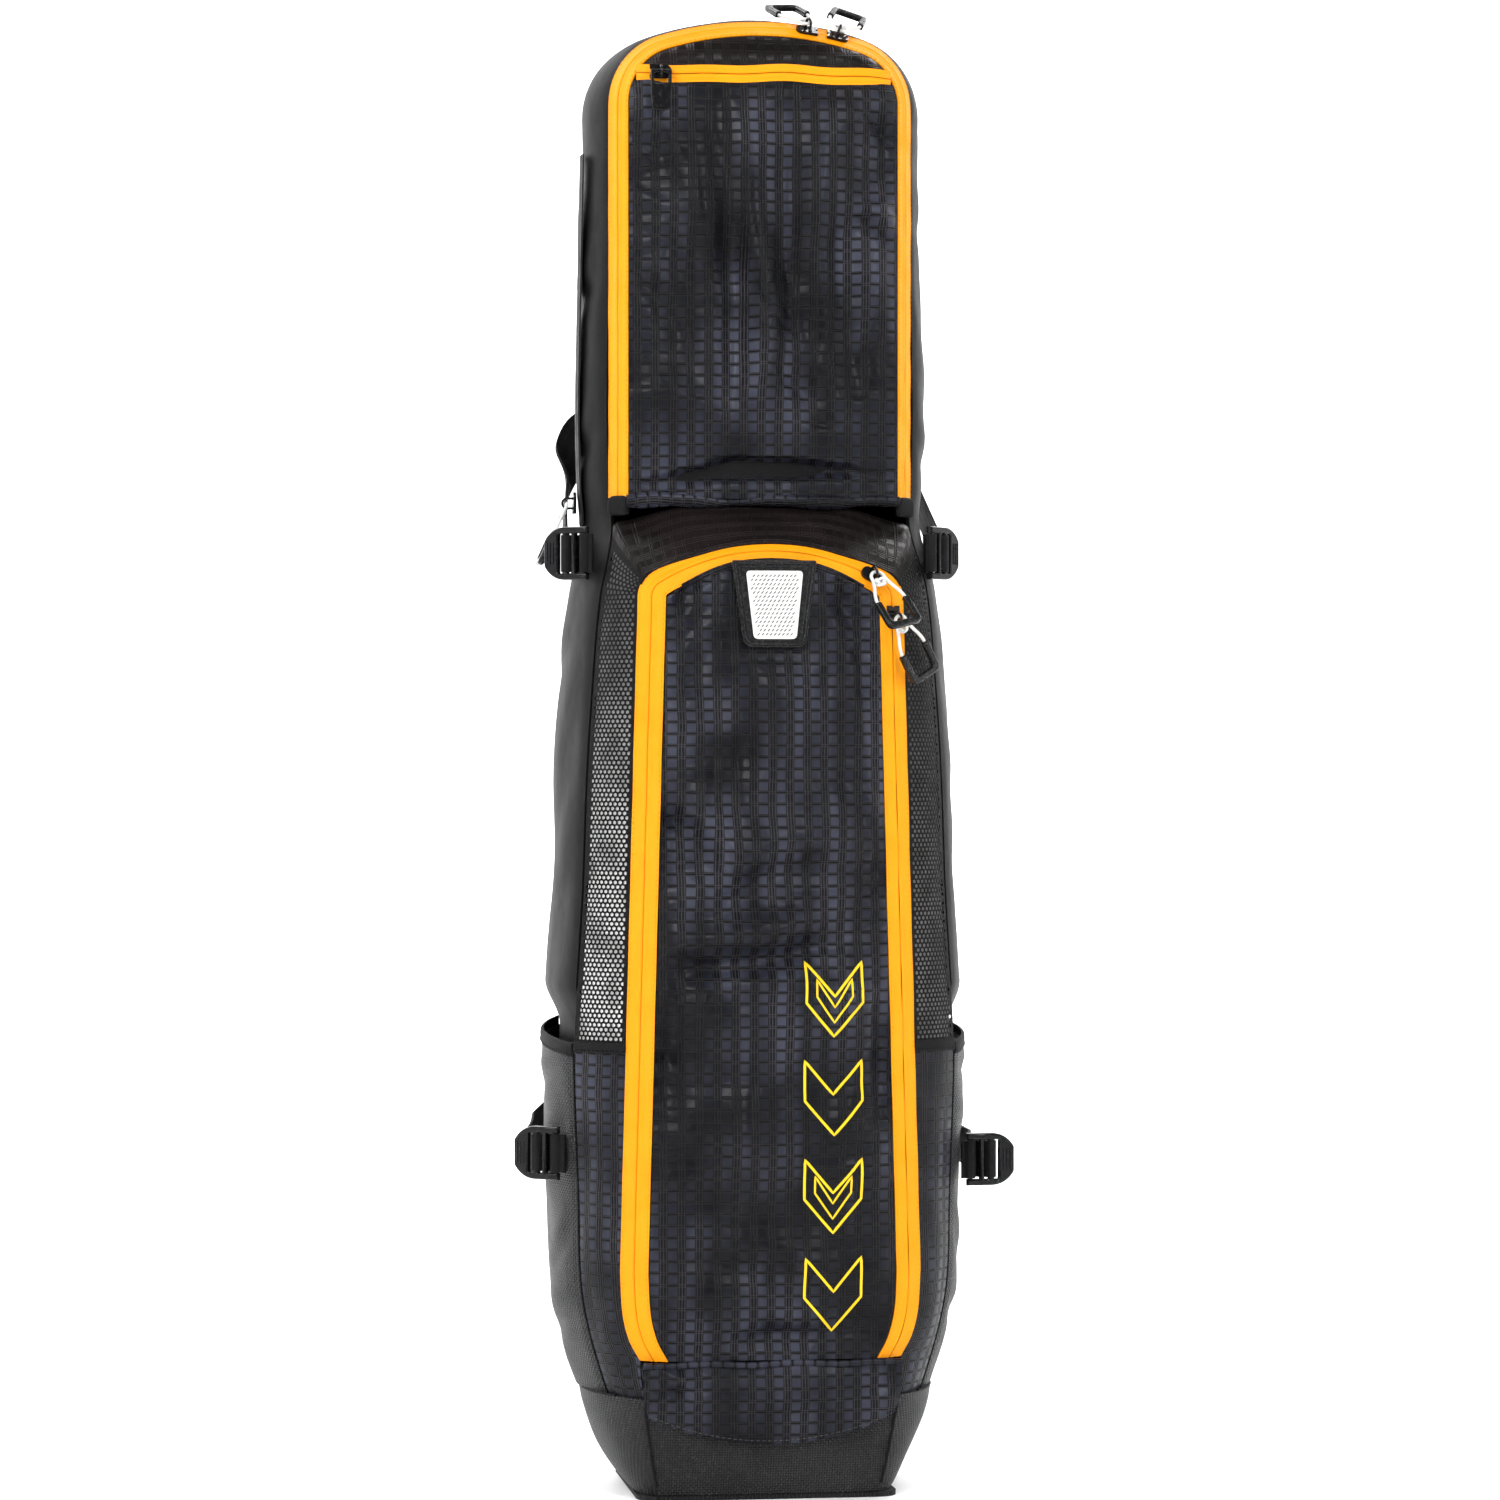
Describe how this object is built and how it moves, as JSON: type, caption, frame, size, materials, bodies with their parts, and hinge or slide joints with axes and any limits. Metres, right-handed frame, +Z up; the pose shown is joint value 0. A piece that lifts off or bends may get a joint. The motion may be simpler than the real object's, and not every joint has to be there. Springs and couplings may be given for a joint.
{
  "type": "field hockey stick bag",
  "caption": "Tall padded stick bag that stands on its base, with a zipped hood flap, a zipped front pocket, mesh gussets, side pockets, adjustable shoulder straps and a carry handle.",
  "frame": {"origin": "centre of the bag's base, on the floor it stands on", "axes": "+Z up along the bag to the hood, -Y out of the front with the zips, +X to the viewer's right seen from the front"},
  "size_m": [0.335, 0.2309, 0.9892],
  "materials": {
    "plain_cloth": "woven polyester",
    "smooth_cloth": "smooth coated, satin",
    "embossed_cloth": "glossy, embossed in a plaid",
    "mesh": "open spacer mesh",
    "coarse_cloth": "coarse ballistic weave",
    "padded_cloth": "foam-backed weave",
    "dark_zip": "reversed coil tape",
    "bright_zip": "reversed coil tape",
    "webbing": "ribbed webbing",
    "board": "matt",
    "hard_plastic": "moulded, semi-gloss",
    "soft_plastic": "moulded, satin",
    "cord": "braided"
  },
  "bodies": {
    "bag": {"back_panel": "padded_cloth", "base_board": "board", "boot_floor": "coarse_cloth", "boot_front": "coarse_cloth", "boot_sides": "coarse_cloth", "boot_back": "coarse_cloth", "side_panel_left": "smooth_cloth", "side_panel_right": "smooth_cloth", "top_cap": "smooth_cloth", "divider_panel": "plain_cloth", "yoke_panel": "embossed_cloth", "mesh_gusset_left": "mesh", "mesh_gusset_right": "mesh", "lower_gusset_left": "embossed_cloth", "lower_gusset_right": "embossed_cloth", "pocket_hem": "embossed_cloth", "side_pocket_left": "plain_cloth", "side_pocket_right": "plain_cloth", "side_pocket_bindings": "plain_cloth", "hood_zip_outer": "bright_zip", "door_zip_outer": "bright_zip", "hood_zip_tabs": "smooth_cloth", "side_zip": "dark_zip", "lock_anchors": "webbing", "shoulder_strap_left": "padded_cloth", "shoulder_strap_right": "padded_cloth", "upper_webbings": "webbing", "lower_webbings": "webbing", "handle_tabs": "webbing"},
    "hood_flap": {"hood_pocket_panel": "embossed_cloth", "hood_crown": "embossed_cloth", "hood_liner": "plain_cloth", "hood_zip_inner": "bright_zip", "hood_pocket_zip": "bright_zip"},
    "pocket_door": {"door_panel": "embossed_cloth", "door_zip_inner": "bright_zip", "badge": "soft_plastic"},
    "hood_runner_left": {"hood_slider_left": "hard_plastic"},
    "hood_runner_right": {"hood_slider_right": "hard_plastic"},
    "hood_pocket_runner": {"hood_pocket_slider": "hard_plastic"},
    "door_runner_upper": {"door_slider_upper": "hard_plastic"},
    "door_runner_lower": {"door_slider_lower": "hard_plastic"},
    "side_runner": {"side_slider": "hard_plastic"},
    "hood_pull_left": {"hood_grip_left": "soft_plastic", "hood_cord_left": "cord"},
    "hood_pull_right": {"hood_grip_right": "soft_plastic", "hood_cord_right": "cord"},
    "door_pull_upper": {"door_grip_upper": "soft_plastic", "door_cord_upper": "cord"},
    "door_pull_lower": {"door_grip_lower": "soft_plastic", "door_cord_lower": "cord"},
    "side_pull": {"side_grip": "soft_plastic", "side_cord": "cord"},
    "hood_pocket_pull": {"hood_pocket_tab": "soft_plastic"},
    "lock_upper_left": {"upper_lock_left": "hard_plastic"},
    "lock_upper_right": {"upper_lock_right": "hard_plastic"},
    "lock_lower_left": {"lower_lock_left": "hard_plastic"},
    "lock_lower_right": {"lower_lock_right": "hard_plastic"},
    "grab_handle": {"carry_handle": "webbing"}
  },
  "joints": [
    {"name": "flap_hinge", "type": "hinge", "parent": "bag", "child": "hood_flap", "pos_m": [0, -0.065, 0.653], "axis": [1, 0, 0], "range_deg": [0, 105]},
    {"name": "door_hinge", "type": "hinge", "parent": "bag", "child": "pocket_door", "pos_m": [0, -0.108, 0.09], "axis": [1, 0, 0], "range_deg": [0, 95]},
    {"name": "hood_runner_left_travel", "type": "hinge", "parent": "hood_flap", "child": "hood_runner_left", "pos_m": [0, -0.05625, 0.749], "axis": [0, -1, 0], "range_deg": [0, 23.5]},
    {"name": "hood_runner_right_travel", "type": "hinge", "parent": "hood_flap", "child": "hood_runner_right", "pos_m": [0, -0.05625, 0.749], "axis": [0, 1, 0], "range_deg": [0, 4]},
    {"name": "hood_pocket_runner_travel", "type": "slide", "parent": "hood_flap", "child": "hood_pocket_runner", "axis": [1, 0, 0], "range_m": [0, 0.14]},
    {"name": "door_runner_upper_travel", "type": "hinge", "parent": "pocket_door", "child": "door_runner_upper", "pos_m": [0, -0.10275, 0.48], "axis": [0, -1, 0], "range_deg": [0, 56]},
    {"name": "door_runner_lower_travel", "type": "slide", "parent": "pocket_door", "child": "door_runner_lower", "axis": [0.0262, 0, -0.9997], "range_m": [0, 0.42]},
    {"name": "side_runner_travel", "type": "slide", "parent": "bag", "child": "side_runner", "axis": [0, 0, 1], "range_m": [0, 0.22]},
    {"name": "hood_pull_left_swing", "type": "hinge", "parent": "hood_runner_left", "child": "hood_pull_left", "pos_m": [0.03075, -0.05986, 0.96978], "axis": [0.9526, 0.2966, 0.067], "range_deg": [0, 150]},
    {"name": "hood_pull_right_swing", "type": "hinge", "parent": "hood_runner_right", "child": "hood_pull_right", "pos_m": [0.05124, -0.05986, 0.96594], "axis": [0.9252, -0.1735, -0.3374], "range_deg": [0, 150]},
    {"name": "door_pull_upper_swing", "type": "hinge", "parent": "door_runner_upper", "child": "door_pull_upper", "pos_m": [0.06689, -0.10845, 0.6058], "axis": [-0.9138, -0.3419, -0.2193], "range_deg": [0, 120]},
    {"name": "door_pull_lower_swing", "type": "hinge", "parent": "door_runner_lower", "child": "door_pull_lower", "pos_m": [0.08228, -0.10845, 0.57708], "axis": [-0.7701, -0.4294, -0.4719], "range_deg": [0, 60]},
    {"name": "side_pull_swing", "type": "hinge", "parent": "side_runner", "child": "side_pull", "pos_m": [-0.1247, -0.012, 0.654], "axis": [0, 1, 0], "range_deg": [0, 110]},
    {"name": "hood_pocket_pull_swing", "type": "hinge", "parent": "hood_pocket_runner", "child": "hood_pocket_pull", "pos_m": [-0.07, -0.0806, 0.934], "axis": [-1, 0, 0], "range_deg": [0, 120]},
    {"name": "lock_upper_left_tilt", "type": "hinge", "parent": "bag", "child": "lock_upper_left", "pos_m": [-0.118, -0.06, 0.619], "axis": [0, 0, 1], "range_deg": [0, 45]},
    {"name": "lock_upper_right_tilt", "type": "hinge", "parent": "bag", "child": "lock_upper_right", "pos_m": [0.111, -0.07, 0.62], "axis": [0, 0, -1], "range_deg": [0, 45]},
    {"name": "lock_lower_left_tilt", "type": "hinge", "parent": "bag", "child": "lock_lower_left", "pos_m": [-0.137, -0.059, 0.225], "axis": [0, 0, 1], "range_deg": [0, 45]},
    {"name": "lock_lower_right_tilt", "type": "hinge", "parent": "bag", "child": "lock_lower_right", "pos_m": [0.141, -0.05, 0.217], "axis": [0, 0, -1], "range_deg": [0, 45]},
    {"name": "grab_handle_swing", "type": "hinge", "parent": "bag", "child": "grab_handle", "pos_m": [-0.086, 0.078, 0.742], "axis": [0, 0, -1], "range_deg": [0, 85]}
  ]
}
